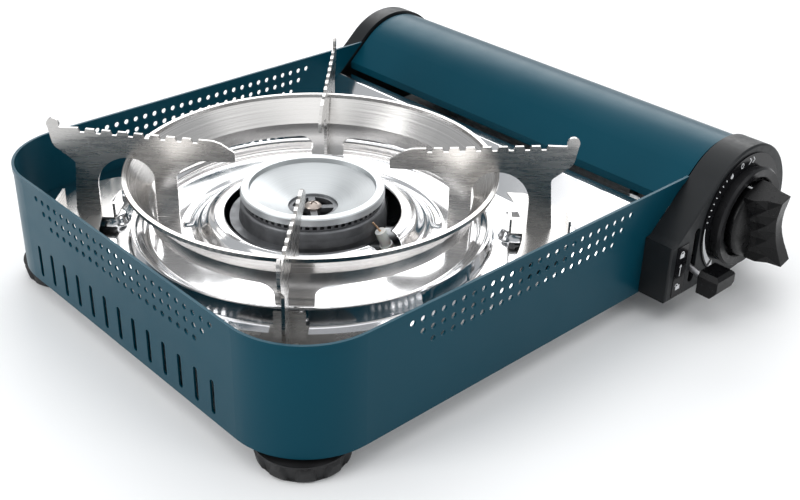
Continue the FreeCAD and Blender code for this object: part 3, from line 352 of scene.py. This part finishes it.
class StoveColours(bpy.types.PropertyGroup):
    enamel: colour("Enamel", "Paint of the tray and the lid", (0.0016, 0.0420, 0.0660))
    moulding: colour("Moulding", "End mouldings", (0.012, 0.0135, 0.015))
    control: colour("Controls", "Knob, bezel and lever tip", (0.0028, 0.0028, 0.0032))
    foot: colour("Feet", "Rubber of the feet", (0.010, 0.010, 0.011))
    steel: colour("Steel", "Stainless steel of the pan, ring and supports", (0.80, 0.80, 0.81))
    aluminium: colour("Aluminium", "Burner cap", (0.56, 0.58, 0.59))
    mark: colour("Marks", "Printed symbols", (0.72, 0.73, 0.74))


def sizes():
    return bpy.context.scene.stove_sizes


def colours():
    return bpy.context.scene.stove_colours


# --- pieces -------------------------------------------------------------------------------------

class STOVE_OT_tray(bpy.types.Operator):
    """Painted tray and lid, with the plain sheet-steel pieces behind them"""
    bl_idname = "stove.tray"
    bl_label = "Tray and lid"

    def execute(self, context):
        paint = enamel("enamel_teal", colours().enamel)
        for node in ("body_shell", "lid"):
            edge = sizes().sheet_edge / MM if node == "lid" else 0.0
            dress(node, paint, edge, 25)
        zinc = brushed_metal("zinc_plated_sheet", (0.55, 0.56, 0.57), (30, 400, 30), 0.28, 0.45)
        for node in ("base_plate", "bay_partition", "hinge_leaf_front", "hinge_leaf_rear",
                     "lever_bracket", "regulator_bracket", "burner_bracket", "electrode_clip",
                     "canister_carriage", "mixing_tube", "regulator_diaphragm"):
            dress(node, zinc)
        pin = brushed_metal("steel_pins", (0.40, 0.40, 0.41), (60, 900, 60), 0.3, 0.45)
        for node in ("hinge_pin_front", "hinge_pin_rear", "foot_screws", "rear_cap_screws",
                     "lever_pivot", "lever_spring", "lever_rod", "knob_spindle"):
            dress(node, pin)
        strip = brushed_metal("aluminium_strip", (0.75, 0.75, 0.76), (20, 500, 20), 0.25, 0.4)
        dress("heat_strip", strip)
        brass = brushed_metal("brass_fittings", (0.62, 0.45, 0.20), (300, 300, 300), 0.25, 0.4)
        for node in ("gas_jet", "gas_pipe"):
            dress(node, brass)
        dress("nozzle_seal", rubber("seal_rubber", (0.012, 0.012, 0.012)))
        dress("piezo_igniter", moulded("piezo_case_black", (0.015, 0.015, 0.015), 0.3, 0.45))
        return {"FINISHED"}


class STOVE_OT_drip_pan(bpy.types.Operator):
    """Bright pressed pan: stepped bowl, arc groove, four seats and a raised shelf by the lid"""
    bl_idname = "stove.drip_pan"
    bl_label = "Drip pan"

    PROFILE = [(46.7, 49.6), (48.2, 50.3), (50.0, 50.4), (52.0, 50.0), (54.0, 48.9), (60.4, 43.9),
               (62.0, 42.7), (64.2, 42.0), (86.0, 41.5), (88.0, 42.9), (93.8, 47.3), (95.0, 47.6),
               (95.7, 46.9), (95.8, 38.6), (97.0, 38.0)]
    LEVEL = 38.0
    HOLE = 46.7
    BOWL_END = 98.0
    GROOVE_RADIUS, GROOVE_HALF = 66.0, 3.4
    SEAT_MIDDLE, SEAT_HALF_LONG, SEAT_ROUND, SEAT_RISE = 121.0, 22.0, 1.6, 5.05
    SLOPE_START, SLOPE_LONG, SHELF_RISE = 104.0, 24.0, 16.0
    LEFT, RIGHT, DEEP, CORNER = 116.3, 134.5, 129.7, 39.1
    NOTCH_AZIMUTH, NOTCH_DEEP = -84, 10.6
    LIP_DEEP = 5.4

    def height(self, x, y):
        """Height of the pan's face over a point, both in mm from the burner's axis."""
        radius = math.hypot(x, y)
        z = curve_through(self.PROFILE, radius)
        azimuth = math.degrees(math.atan2(y, x))
        round_rear = ease(-48, -40, azimuth) * ease(146, 138, azimuth)
        groove = max(0.0, 1 - ((radius - self.GROOVE_RADIUS) / self.GROOVE_HALF) ** 2)
        z -= sizes().groove_deep / MM * groove * round_rear
        across = abs(abs(x) - abs(y)) * math.sqrt(0.5)
        along = (abs(x) + abs(y)) * math.sqrt(0.5)
        half = sizes().boss_wide / MM / 2
        core = half - self.SEAT_ROUND
        beyond = max(0.0, abs(along - self.SEAT_MIDDLE) - (self.SEAT_HALF_LONG - half))
        outside = math.hypot(across, beyond) - core
        if radius > 90:
            z = max(z, self.LEVEL + self.SEAT_RISE * ease(2.2, -0.6, outside))
        rise = min(1.0, max(0.0, (x - self.SLOPE_START) / self.SLOPE_LONG))
        return max(z, self.LEVEL + self.SHELF_RISE * rise)

    def edge(self, azimuth):
        """Distance from the burner's axis to the pan's outline in that direction."""
        cosine, sine = math.cos(azimuth), math.sin(azimuth)
        reach = min((self.RIGHT if cosine > 0 else self.LEFT) / max(1e-9, abs(cosine)),
                    self.DEEP / max(1e-9, abs(sine)))
        x, y = reach * cosine, reach * sine
        centre_x, centre_y = self.CORNER - self.LEFT, self.DEEP - self.CORNER
        if x < centre_x and abs(y) > centre_y:
            side = math.copysign(centre_y, y)
            dot = centre_x * cosine + side * sine
            square = centre_x ** 2 + side ** 2
            reach = dot + math.sqrt(max(0.0, dot * dot - square + self.CORNER * self.CORNER))
        return reach

    def execute(self, context):
        bm = bmesh.new()
        turns, inner, outer = 720, 96, 84
        notch = math.radians(self.NOTCH_AZIMUTH)
        rows = []
        for step in range(inner + outer + 1):
            row = []
            for turn in range(turns):
                azimuth = 2 * math.pi * turn / turns
                away = abs((azimuth - notch + math.pi) % (2 * math.pi) - math.pi)
                start = self.HOLE + self.NOTCH_DEEP * ease(0.24, 0.11, away)
                if step <= inner:
                    radius = start + (self.BOWL_END - start) * step / inner
                else:
                    beyond = self.edge(azimuth) - self.BOWL_END
                    radius = self.BOWL_END + beyond * (step - inner) / outer
                x, y = radius * math.cos(azimuth), radius * math.sin(azimuth)
                place = (BURNER.x + x * MM, BURNER.y + y * MM, self.height(x, y) * MM)
                row.append(bm.verts.new(place))
            rows.append(row)
        for first, second in zip(rows, rows[1:]):
            bridge(bm, first, second)
        lip = []
        for vert in rows[-1]:
            drop = self.LIP_DEEP * MM * ease(0.128, 0.132, vert.co.x - BURNER.x) + 0.0002
            lip.append(bm.verts.new(vert.co - Vector((0, 0, drop))))
        bridge(bm, rows[-1], lip)
        steel = bright_steel("bright_pan_steel", colours().steel)
        pan = add_piece("drip_pan_pressed", bm, steel, "stove", 50)
        if pan.data.polygons[0].normal.z < 0:
            pan.data.flip_normals()
        solid = pan.modifiers.new("sheet", "SOLIDIFY")
        solid.thickness = sizes().pan_sheet
        solid.offset = -1.0
        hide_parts("drip_pan")
        return {"FINISHED"}


class STOVE_OT_ring_and_supports(bpy.types.Operator):
    """Wind ring and the four toothed pot supports"""
    bl_idname = "stove.ring_and_supports"
    bl_label = "Wind ring and pot supports"

    def execute(self, context):
        steel = colours().steel
        # The ring's and supports' steel is the pan's steel darkened and warmed: painted shade standing in
        # for the darker surroundings they reflect.
        steel_with_painted_shade = (steel[0] * 0.80, steel[1] * 0.78, steel[2] * 0.75)
        spun = spun_metal("spun_ring_steel", steel_with_painted_shade, 0.0008, 0.2, 0.28, 0.00001)
        dress("wind_ring", spun, 0.25, 20)
        # The supports are darkened further than the ring: more painted shade.
        blade = brushed_metal("support_steel", scaled(steel_with_painted_shade, 0.84), (60, 60, 700), 0.22, 0.32, 0.00001)
        for corner in ("front_left", "front_right", "rear_left", "rear_right"):
            dress(f"pan_support_{corner}", blade, 0.25)
        return {"FINISHED"}


class STOVE_OT_burner(bpy.types.Operator):
    """Burner bowl, ports, cap, hub, screw and spark electrode"""
    bl_idname = "stove.burner"
    bl_label = "Burner"

    def execute(self, context):
        cast = cast_metal("cast_burner", (0.20, 0.205, 0.215))
        for node in ("burner_bowl", "port_ring", "burner_hub"):
            dress(node, cast, 0.2 if node == "burner_hub" else 0.0)
        turned = spun_metal("turned_cap", colours().aluminium, 0.0006, 0.38, 0.5, 0.00002)
        dress("burner_cap", turned, 0.3, 25)
        zinc = brushed_metal("passivated_zinc", (0.46, 0.40, 0.36), (300, 300, 300), 0.3, 0.42)
        dress("burner_screw", zinc, 0.1)
        dress("electrode_ceramic", glazed("white_ceramic", (0.86, 0.85, 0.82)), 0.2)
        wire = brushed_metal("electrode_wire", (0.62, 0.40, 0.25), (400, 400, 400), 0.35, 0.5)
        dress("electrode_pin", wire)
        return {"FINISHED"}


class STOVE_OT_mouldings(bpy.types.Operator):
    """Control panel and rear cap"""
    bl_idname = "stove.mouldings"
    bl_label = "End mouldings"

    def execute(self, context):
        plastic = moulded("moulding_grey", colours().moulding, 0.32, 0.45)
        for node in ("control_panel", "rear_cap"):
            dress(node, plastic, sizes().moulding_edge / MM)
        return {"FINISHED"}


class STOVE_OT_dial(bpy.types.Operator):
    """Dial plate with generic printed symbols, the bezel, the knob and the lever"""
    bl_idname = "stove.dial"
    bl_label = "Dial and controls"

    def execute(self, context):
        gloss = moulded("dial_gloss", (0.006, 0.006, 0.007), 0.12, 0.2, 500, 0.00001)
        dress("dial_plate", gloss, 0.15)
        dress("lever_label", gloss)
        control = moulded("control_black", colours().control, 0.24, 0.36)
        dress("lever_tip", control, 0.5)
        self.knob(control)
        dress("knob_bezel", moulded("bezel_black", (0.012, 0.012, 0.013), 0.25, 0.38), 0.3)
        ink = printing("white_ink", colours().mark)
        across, up, out = Vector((1, 0, 0)), Vector((0, 0, 1)), Vector((0, -1, 0))
        thick = sizes().print_thick / MM
        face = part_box("dial_plate")[0].y
        centre = Vector((KNOB.x, face, KNOB.z))
        bm = bmesh.new()
        wedge = []
        rim, steps = 34.0, 32
        for step in range(steps + 1):
            angle = math.radians(176 + 44 * step / steps)
            wedge.append((rim * math.cos(angle), rim * math.sin(angle)))
        for step in range(steps, -1, -1):
            angle = math.radians(176 + 44 * step / steps)
            wide = 0.5 + 2.6 * step / steps
            wedge.append(((rim - wide) * math.cos(angle), (rim - wide) * math.sin(angle)))
        plate(bm, wedge, centre, across, up, out, thick)
        arrow = [self.on_dial(224, 34.4), self.on_dial(224, 29.8), self.on_dial(229, 32.1)]
        plate(bm, arrow, centre, across, up, out, thick)
        for degrees in (92, 86):
            chevron = [self.on_dial(degrees, 33.4), self.on_dial(degrees - 1.5, 33.4),
                       self.on_dial(degrees - 4.5, 31.6), self.on_dial(degrees - 1.5, 29.8),
                       self.on_dial(degrees, 29.8), self.on_dial(degrees - 3.0, 31.6)]
            plate(bm, chevron, centre, across, up, out, thick)
        for degrees in (128, 134, 140, 146, 152, 158, 164, 170):
            mark = [self.on_dial(degrees - 0.5, 33.8), self.on_dial(degrees + 0.5, 33.8),
                    self.on_dial(degrees + 0.5, 32.4), self.on_dial(degrees - 0.5, 32.4)]
            plate(bm, mark, centre, across, up, out, thick)
        zero_x, zero_y = self.on_dial(103, 31.6)
        for start in (0, 180):
            ring = [(1.3, start + 10 * step) for step in range(19)]
            ring += [(0.8, start + 180 - 10 * step) for step in range(19)]
            half = [(zero_x + radius * math.cos(math.radians(turn)),
                     zero_y + 1.3 * radius * math.sin(math.radians(turn))) for radius, turn in ring]
            plate(bm, half, centre, across, up, out, thick)
        flame = [(0, 2.6), (0.9, 1.2), (1.7, 0.2), (1.8, -0.9), (1.1, -1.9), (0, -2.2), (-1.1, -1.9),
                 (-1.8, -0.9), (-1.5, 0.3), (-0.7, 0.9)]
        flame_x, flame_y = self.on_dial(120, 31.8)
        flame = [(0.7 * x + flame_x, 0.7 * y + flame_y) for x, y in flame]
        plate(bm, flame, centre, across, up, out, thick)
        add_piece("dial_marks", bm, ink, "stove")
        self.label(ink, across, up, out, thick)
        self.pointer(ink)
        return {"FINISHED"}

    def on_dial(self, degrees, radius):
        """A point of the dial's face from its angle and its distance from the knob's axis, in mm."""
        return (radius * math.cos(math.radians(degrees)), radius * math.sin(math.radians(degrees)))

    def label(self, ink, across, up, out, thick):
        """Closed padlock above, open one below and an arrow between them, beside the lever."""
        low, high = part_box("lever_label")
        centre = Vector(((low.x + high.x) / 2, low.y, (low.z + high.z) / 2))
        bm = bmesh.new()
        for height, opened in ((9.6, 0), (-9.6, 1)):
            base = [(-1.8, -2.0), (1.8, -2.0), (1.8, 0.5), (-1.8, 0.5)]
            plate(bm, [(x, y + height) for x, y in base], centre, across, up, out, thick)
            bow = []
            for radius, steps in ((1.5, range(13)), (1.0, range(12, -1, -1))):
                for step in steps:
                    angle = math.pi * step / 12
                    bow.append((radius * math.cos(angle) - 1.1 * opened, radius * math.sin(angle) + 0.5))
            plate(bm, [(x, y + height) for x, y in bow], centre, across, up, out, thick)
        arrow = [(-0.28, -3.4), (0.28, -3.4), (0.28, 2.2), (1.1, 2.2), (0, 3.9), (-1.1, 2.2),
                 (-0.28, 2.2)]
        plate(bm, arrow, centre, across, up, out, thick)
        add_piece("lever_marks", bm, ink, "stove")

    def bar_axes(self):
        """Directions along the knob's bar and across it, as it stands at rest."""
        tilt = math.radians(17)
        return (Vector((-math.sin(tilt), 0, math.cos(tilt))),
                Vector((math.cos(tilt), 0, math.sin(tilt))))

    def knob(self, control):
        """The knob: a turned skirt under a bar whose sides are cut in diamond facets."""
        along, across = self.bar_axes()
        axis = Vector((KNOB.x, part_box("knob")[1].y, KNOB.z))

        def spot(u, w, d):
            """A point u along the bar, w across it and d in front of the dial, in mm."""
            return axis + (along * u + across * w + Vector((0, -1, 0)) * d) * MM

        skirt = bmesh.new()
        rows = []
        for radius, depth in ((20.0, 0.0), (20.9, 2.5), (21.2, 4.6), (21.0, 5.6), (20.3, 6.3), (18.5, 6.8),
                              (14.0, 7.4), (8.0, 8.6), (0.5, 9.0)):
            rows.append([skirt.verts.new(spot(radius * math.cos(turn * math.pi / 48),
                                              radius * math.sin(turn * math.pi / 48), depth))
                         for turn in range(96)])
        for first, second in zip(rows, rows[1:]):
            bridge(skirt, first, second)
        skirt.faces.new(rows[0])
        skirt.faces.new(rows[-1][::-1])
        add_piece("knob_skirt", skirt, control, "knob", 30)

        bar = bmesh.new()
        columns = (-22.2, -16.5, -11.0, -5.5, 0.0, 5.5, 11.0, 16.5, 22.2)
        wide = (8.4, 6.2, 4.4, 2.9)
        sides = []
        for side in (-1, 1):
            grid = []
            for row, half in enumerate(wide):
                line = []
                for column, u in enumerate(columns):
                    flare = 0.05 * abs(u) * (0.35 if row == 0 else 1.0)
                    raised = 1.0 if (row + column) % 2 and 0 < row < 3 else 0.0
                    front = 25.0 - 4.2 * max(0.0, 1 - (u / 20.5) ** 2)
                    depth = min((5.0, 11.5, 17.5, front)[row], front - (3 - row) * 2.2)
                    end = 0.3 if row == 2 and abs(u) > 20 else 0.0
                    reach = side * (half + flare + raised - end)
                    place = spot(u * (1 - 0.012 * (3 - row)), reach, depth)
                    line.append(bar.verts.new(place))
                grid.append(line)
            sides.append(grid)
            for row in range(3):
                for column in range(8):
                    a, b = grid[row][column], grid[row][column + 1]
                    c, d = grid[row + 1][column + 1], grid[row + 1][column]
                    if (row + column) % 2:
                        bar.faces.new((a, b, c))
                        bar.faces.new((a, c, d))
                    else:
                        bar.faces.new((a, b, d))
                        bar.faces.new((b, c, d))
        left, right = sides
        bridge(bar, left[3], right[3], False)
        bridge(bar, left[0], right[0], False)
        for column in (0, 8):
            bridge(bar, [line[column] for line in left], [line[column] for line in right], False)
        piece = add_piece("knob_bar", bar, control, "knob", 8)
        edge = piece.modifiers.new("broken_edge", "BEVEL")
        edge.width = 0.16 * MM
        edge.segments = 2
        edge.limit_method = "ANGLE"
        edge.angle_limit = math.radians(14)
        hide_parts("knob")

    def pointer(self, ink):
        """A white line on the knob's skirt, under the bar's upper end."""
        up, across = self.bar_axes()
        bm = bmesh.new()
        start = Vector((KNOB.x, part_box("knob")[1].y - 4.6 * MM, KNOB.z))
        skirt = 21.25
        ring = [(skirt * math.sin(0.03 * step), skirt * math.cos(0.03 * step)) for step in range(-1, 2)]
        low_edge = [bm.verts.new(start + (across * x + up * z) * MM) for x, z in ring]
        high_edge = [bm.verts.new(v.co + Vector((0, 2.4 * MM, 0))) for v in low_edge]
        bridge(bm, low_edge, high_edge, False)
        add_piece("knob_mark", bm, ink, "knob")


class STOVE_OT_feet(bpy.types.Operator):
    """Rubber feet with scalloped sides and raised arches"""
    bl_idname = "stove.feet"
    bl_label = "Feet"

    SIDE_TOP, ARCH_HALF, ARCH_TALL, SCALLOP = 9.6, 0.72, 6.2, 1.7

    def scallop(self, share, z):
        """How far the side is drawn in, between one arch and the next, at a height in mm."""
        sway = abs(2 * share - 1)
        arch = max(0.0, 1 - ((sway / self.ARCH_HALF) ** 2 + (max(0.0, z - 2.0) / self.ARCH_TALL) ** 2))
        depth = self.SCALLOP * (1 - min(1.0, 4.0 * arch))
        return depth * ease(0.0, 0.8, z) * ease(self.SIDE_TOP, 8.8, z)

    def execute(self, context):
        material = rubber("foot_rubber", colours().foot)
        lobes = sizes().foot_lobes
        turns = lobes * 24
        levels = [(-0.5, 12.1), (12.0, 12.1), (12.05, 9.0), (20.6, 9.0), (21.4, 9.6), (23.0, 10.0),
                  (23.4, 9.4), (23.2, 8.0), (22.8, 6.4), (22.4, 4.8), (22.1, 3.2), (21.8, 1.6), (21.3, 0.6),
                  (20.6, 0.1), (19.0, 0.0), (5.0, 0.0), (4.9, 0.3), (4.8, 5.0), (0.5, 5.0)]
        for corner in ("front_left", "front_right", "rear_left", "rear_right"):
            node = f"foot_{corner}"
            centre = middle(node)
            bm = bmesh.new()
            rows = []
            for radius, z in levels:
                row = []
                for turn in range(turns):
                    angle = 2 * math.pi * turn / turns
                    share = (lobes * angle / (2 * math.pi)) % 1.0
                    depth = self.scallop(share, z) if radius > 18 and z < 9.5 else 0.0
                    away = max(0.5, radius - depth)
                    place = (centre.x + away * MM * math.cos(angle),
                             centre.y + away * MM * math.sin(angle), z * MM)
                    row.append(bm.verts.new(place))
                rows.append(row)
            for first, second in zip(rows, rows[1:]):
                bridge(bm, first, second)
            bm.faces.new(rows[0])
            bm.faces.new(rows[-1][::-1])
            foot = add_piece(f"foot_moulded_{corner}", bm, material, "stove", 40)
            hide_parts(node)
        return {"FINISHED"}


class STOVE_OT_stage(bpy.types.Operator):
    """Pale floor, soft lights and the camera"""
    bl_idname = "stove.stage"
    bl_label = "Stage"

    def execute(self, context):
        bm = bmesh.new()
        bmesh.ops.create_grid(bm, x_segments=1, y_segments=1, size=6.0)
        mesh = bpy.data.meshes.new("floor")
        bm.to_mesh(mesh)
        bm.free()
        floor = bpy.data.objects.new("floor", mesh)
        context.scene.collection.objects.link(floor)
        paper = Finish("white_paper", (0.93, 0.93, 0.93), 0.9)
        paper.tint(paper.noise(3, 2), (0.92, 0.92, 0.92), (0.94, 0.94, 0.94))
        mesh.materials.append(paper.material)
        floor.location.z = -0.0002
        world = bpy.data.worlds.new("studio")
        world.use_nodes = True
        world.node_tree.nodes["Background"].inputs["Color"].default_value = (0.94, 0.97, 1.0, 1)
        world.node_tree.nodes["Background"].inputs["Strength"].default_value = 0.55
        context.scene.world = world
        context.scene.view_settings.view_transform = "Standard"
        self.light("overhead", (0.0, 0.0, 1.3), (0, 0, 0), (1.6, 1.6), 8)
        self.light("rear_right", (1.15, 1.05, 0.95), (0.05, 0, 0.05), (1.9, 1.0), 18)
        self.light("left", (-1.4, 0.35, 0.75), (0, 0, 0.05), (0.6, 1.2), 11)
        self.light("front", (0.5, -1.7, 1.2), (0, 0, 0.05), (0.8, 0.8), 7)
        self.camera(context)
        return {"FINISHED"}

    def light(self, name, where, target, size, power):
        data = bpy.data.lights.new(name, "AREA")
        data.shape = "RECTANGLE"
        data.size, data.size_y = size
        data.energy = power
        lamp = bpy.data.objects.new(name, data)
        bpy.context.scene.collection.objects.link(lamp)
        lamp.location = where
        lamp.rotation_mode = "QUATERNION"
        lamp.rotation_quaternion = (Vector(target) - Vector(where)).to_track_quat("-Z", "Y")

    def camera(self, context):
        data = bpy.data.cameras.new("camera")
        data.lens = 53.12
        data.sensor_width = 36.0
        data.clip_start, data.clip_end = 0.01, 50.0
        camera = bpy.data.objects.new("camera", data)
        context.scene.collection.objects.link(camera)
        turn, tilt, roll = math.radians(-43.59), math.radians(29.97), math.radians(1.61)
        back = Vector((math.sin(turn) * math.cos(tilt), -math.cos(turn) * math.cos(tilt), math.sin(tilt)))
        side = Vector((math.cos(turn), math.sin(turn), 0))
        up = back.cross(side)
        right = side * math.cos(roll) + up * math.sin(roll)
        above = up * math.cos(roll) - side * math.sin(roll)
        where = Vector((BURNER.x, BURNER.y, 0)) + Vector((-347.96, -433.41, 345.18)) * MM
        turned = Matrix((right, above, back)).transposed().to_4x4()
        camera.matrix_world = Matrix.Translation(where) @ turned
        context.scene.camera = camera


class STOVE_PT_panel(bpy.types.Panel):
    """Lists the stove's sizes, colours and pieces"""
    bl_label = "Cassette stove"
    bl_idname = "STOVE_PT_panel"
    bl_space_type = "VIEW_3D"
    bl_region_type = "UI"
    bl_category = "Stove"

    def draw(self, context):
        for group in (context.scene.stove_sizes, context.scene.stove_colours):
            box = self.layout.box()
            for name in group.bl_rna.properties.keys():
                if name not in ("rna_type", "name"):
                    box.prop(group, name)
        for piece in PIECES:
            self.layout.operator(piece.bl_idname)


PIECES = (STOVE_OT_tray, STOVE_OT_drip_pan, STOVE_OT_ring_and_supports, STOVE_OT_burner,
          STOVE_OT_mouldings, STOVE_OT_dial, STOVE_OT_feet, STOVE_OT_stage)
CLASSES = (StoveSizes, StoveColours) + PIECES + (STOVE_PT_panel,)


def register():
    for item in CLASSES:
        bpy.utils.register_class(item)
    bpy.types.Scene.stove_sizes = PointerProperty(type=StoveSizes)
    bpy.types.Scene.stove_colours = PointerProperty(type=StoveColours)


def unregister():
    del bpy.types.Scene.stove_sizes
    del bpy.types.Scene.stove_colours
    for item in reversed(CLASSES):
        bpy.utils.unregister_class(item)


def main():
    register()
    for piece in PIECES:
        group, name = piece.bl_idname.split(".")
        getattr(getattr(bpy.ops, group), name)()


if __name__ == "__main__":
    main()
